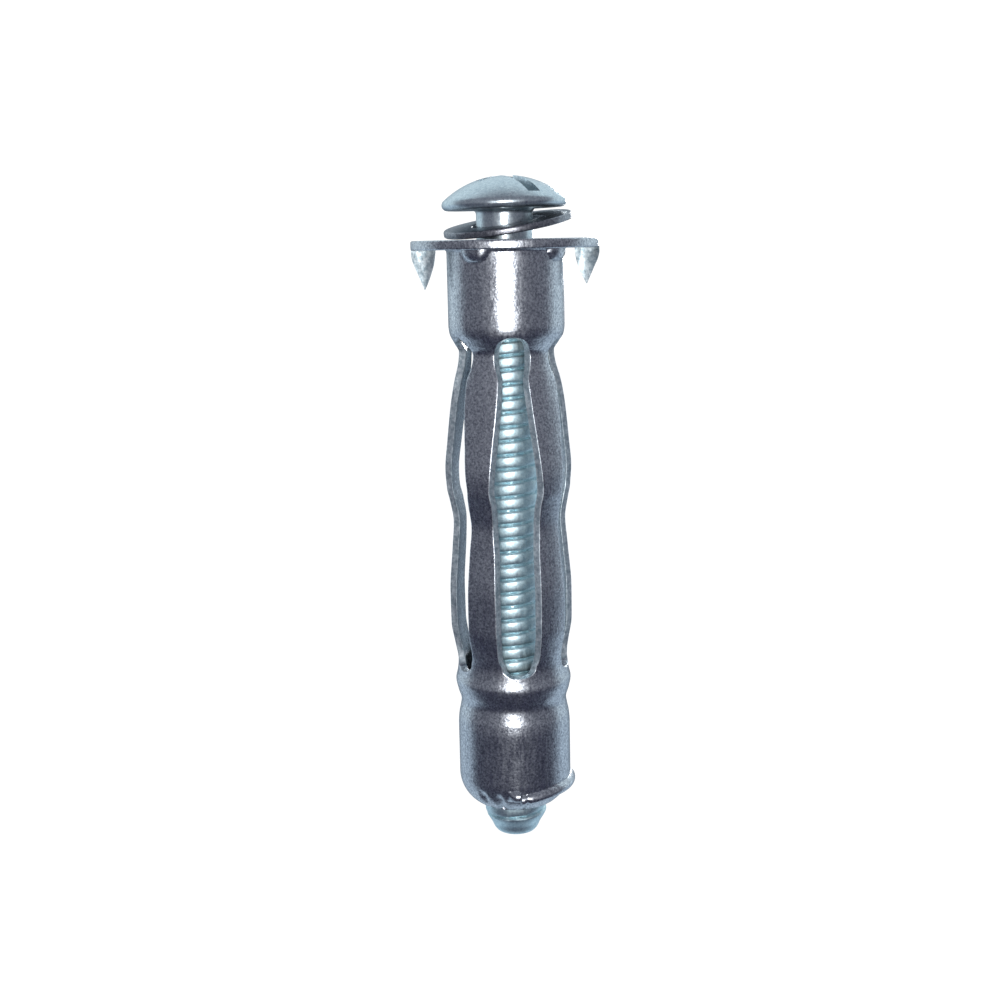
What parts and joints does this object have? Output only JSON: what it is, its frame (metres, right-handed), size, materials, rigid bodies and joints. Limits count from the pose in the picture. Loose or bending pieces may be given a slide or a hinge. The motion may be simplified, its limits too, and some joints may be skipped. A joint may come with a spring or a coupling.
{
  "type": "hollow wall anchor",
  "caption": "Hollow wall anchor: slotted plated steel sleeve with a spiked flange, folding legs, a captive nut and a domed slot and cross head screw.",
  "frame": {"origin": "centre of the sleeve in the plane of the flange's underside, which lies against the wall", "axes": "+Z out of the wall towards the screw's head; the sleeve hangs down along -Z; the spikes are at -X and +X"},
  "size_m": [0.014, 0.014, 0.0507],
  "materials": {
    "plated_sheet": "bright zinc plating with a faint blue passivation, fine tooling marks",
    "plated_nut": "zinc plated, machined",
    "plated_screw": "bright zinc plating, rolled thread",
    "plated_washer": "bright zinc plating, stamped edges"
  },
  "bodies": {
    "collar": {"sleeve_collar": "plated_sheet"},
    "upper_leg_1": {"upper_leg_1": "plated_sheet"},
    "upper_leg_2": {"upper_leg_2": "plated_sheet"},
    "upper_leg_3": {"upper_leg_3": "plated_sheet"},
    "upper_leg_4": {"upper_leg_4": "plated_sheet"},
    "upper_leg_5": {"upper_leg_5": "plated_sheet"},
    "lower_leg_1": {"lower_leg_1": "plated_sheet"},
    "lower_leg_2": {"lower_leg_2": "plated_sheet"},
    "lower_leg_3": {"lower_leg_3": "plated_sheet"},
    "lower_leg_4": {"lower_leg_4": "plated_sheet"},
    "lower_leg_5": {"lower_leg_5": "plated_sheet"},
    "cup": {"sleeve_cup": "plated_sheet", "trapped_nut": "plated_nut"},
    "screw": {"machine_screw": "plated_screw"},
    "washer": {"flat_washer": "plated_washer"}
  },
  "joints": [
    {"name": "neck_fold_1", "type": "hinge", "parent": "collar", "child": "upper_leg_1", "pos_m": [0.00281, -0.00296, -0.0092], "axis": [-0.7254, -0.6884, 0], "range_deg": [0, 80]},
    {"name": "neck_fold_2", "type": "hinge", "parent": "collar", "child": "upper_leg_2", "pos_m": [0.00368, 0.00176, -0.0092], "axis": [0.4305, -0.9026, 0], "range_deg": [0, 80]},
    {"name": "neck_fold_3", "type": "hinge", "parent": "collar", "child": "upper_leg_3", "pos_m": [-0.00053, 0.00404, -0.0092], "axis": [0.9914, 0.1305, 0], "range_deg": [0, 80]},
    {"name": "neck_fold_4", "type": "hinge", "parent": "collar", "child": "upper_leg_4", "pos_m": [-0.00401, 0.00074, -0.0092], "axis": [0.1822, 0.9833, 0], "range_deg": [0, 80]},
    {"name": "neck_fold_5", "type": "hinge", "parent": "collar", "child": "upper_leg_5", "pos_m": [-0.00195, -0.00359, -0.0092], "axis": [-0.8788, 0.4772, 0], "range_deg": [0, 80]},
    {"name": "elbow_fold_1", "type": "hinge", "parent": "upper_leg_1", "child": "lower_leg_1", "pos_m": [0.0025, -0.00264, -0.02015], "axis": [0.7254, 0.6884, 0], "range_deg": [0, 160]},
    {"name": "elbow_fold_2", "type": "hinge", "parent": "upper_leg_2", "child": "lower_leg_2", "pos_m": [0.00328, 0.00156, -0.02015], "axis": [-0.4305, 0.9026, 0], "range_deg": [0, 160]},
    {"name": "elbow_fold_3", "type": "hinge", "parent": "upper_leg_3", "child": "lower_leg_3", "pos_m": [-0.00047, 0.0036, -0.02015], "axis": [-0.9914, -0.1305, 0], "range_deg": [0, 160]},
    {"name": "elbow_fold_4", "type": "hinge", "parent": "upper_leg_4", "child": "lower_leg_4", "pos_m": [-0.00357, 0.00066, -0.02015], "axis": [-0.1822, -0.9833, 0], "range_deg": [0, 160]},
    {"name": "elbow_fold_5", "type": "hinge", "parent": "upper_leg_5", "child": "lower_leg_5", "pos_m": [-0.00173, -0.00319, -0.02015], "axis": [0.8788, -0.4772, 0], "range_deg": [0, 160]},
    {"name": "foot_fold_1", "type": "hinge", "parent": "lower_leg_1", "child": "cup", "pos_m": [0.00281, -0.00296, -0.0311], "axis": [-0.7254, -0.6884, 0], "range_deg": [0, 80]},
    {"name": "screw_spin", "type": "hinge", "parent": "collar", "child": "screw", "pos_m": [0, 0, 0.0029], "axis": [0, 0, 1], "continuous": true},
    {"name": "washer_tilt", "type": "hinge", "parent": "collar", "child": "washer", "pos_m": [-0.00334, -0.00309, 0.00071], "axis": [-0.6428, 0.766, 0], "range_deg": [0, 10.05]}
  ],
  "couplings": [
    {"joint": "neck_fold_2", "follows": "neck_fold_1", "ratio": 1},
    {"joint": "neck_fold_3", "follows": "neck_fold_1", "ratio": 1},
    {"joint": "neck_fold_4", "follows": "neck_fold_1", "ratio": 1},
    {"joint": "neck_fold_5", "follows": "neck_fold_1", "ratio": 1},
    {"joint": "elbow_fold_1", "follows": "neck_fold_1", "ratio": 2},
    {"joint": "elbow_fold_2", "follows": "neck_fold_1", "ratio": 2},
    {"joint": "elbow_fold_3", "follows": "neck_fold_1", "ratio": 2},
    {"joint": "elbow_fold_4", "follows": "neck_fold_1", "ratio": 2},
    {"joint": "elbow_fold_5", "follows": "neck_fold_1", "ratio": 2},
    {"joint": "foot_fold_1", "follows": "neck_fold_1", "ratio": 1}
  ]
}
